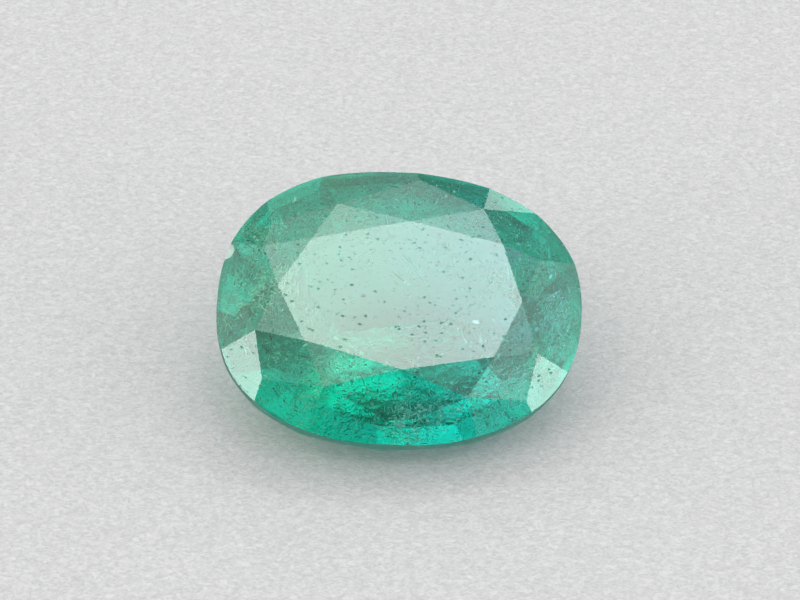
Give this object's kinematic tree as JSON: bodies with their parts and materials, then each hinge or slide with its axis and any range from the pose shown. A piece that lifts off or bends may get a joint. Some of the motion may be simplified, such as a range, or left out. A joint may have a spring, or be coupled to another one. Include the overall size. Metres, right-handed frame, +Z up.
{
  "type": "oval cut emerald gemstone",
  "caption": "Loose oval cut emerald: flat table, brilliant crown, scalloped girdle and step-cut pavilion, clear bluish green with natural inclusions, lying on a facet beside its keel.",
  "frame": {"origin": "on the surface it lies on, under the middle of the stone's box", "axes": "+X along the stone's length, +Z up, and the table leans towards -Y"},
  "size_m": [0.009, 0.0066, 0.0046],
  "materials": {
    "emerald": "polished, transparent bluish green, with natural inclusions"
  },
  "bodies": {
    "root": {"emerald": "emerald"}
  },
  "joints": []
}
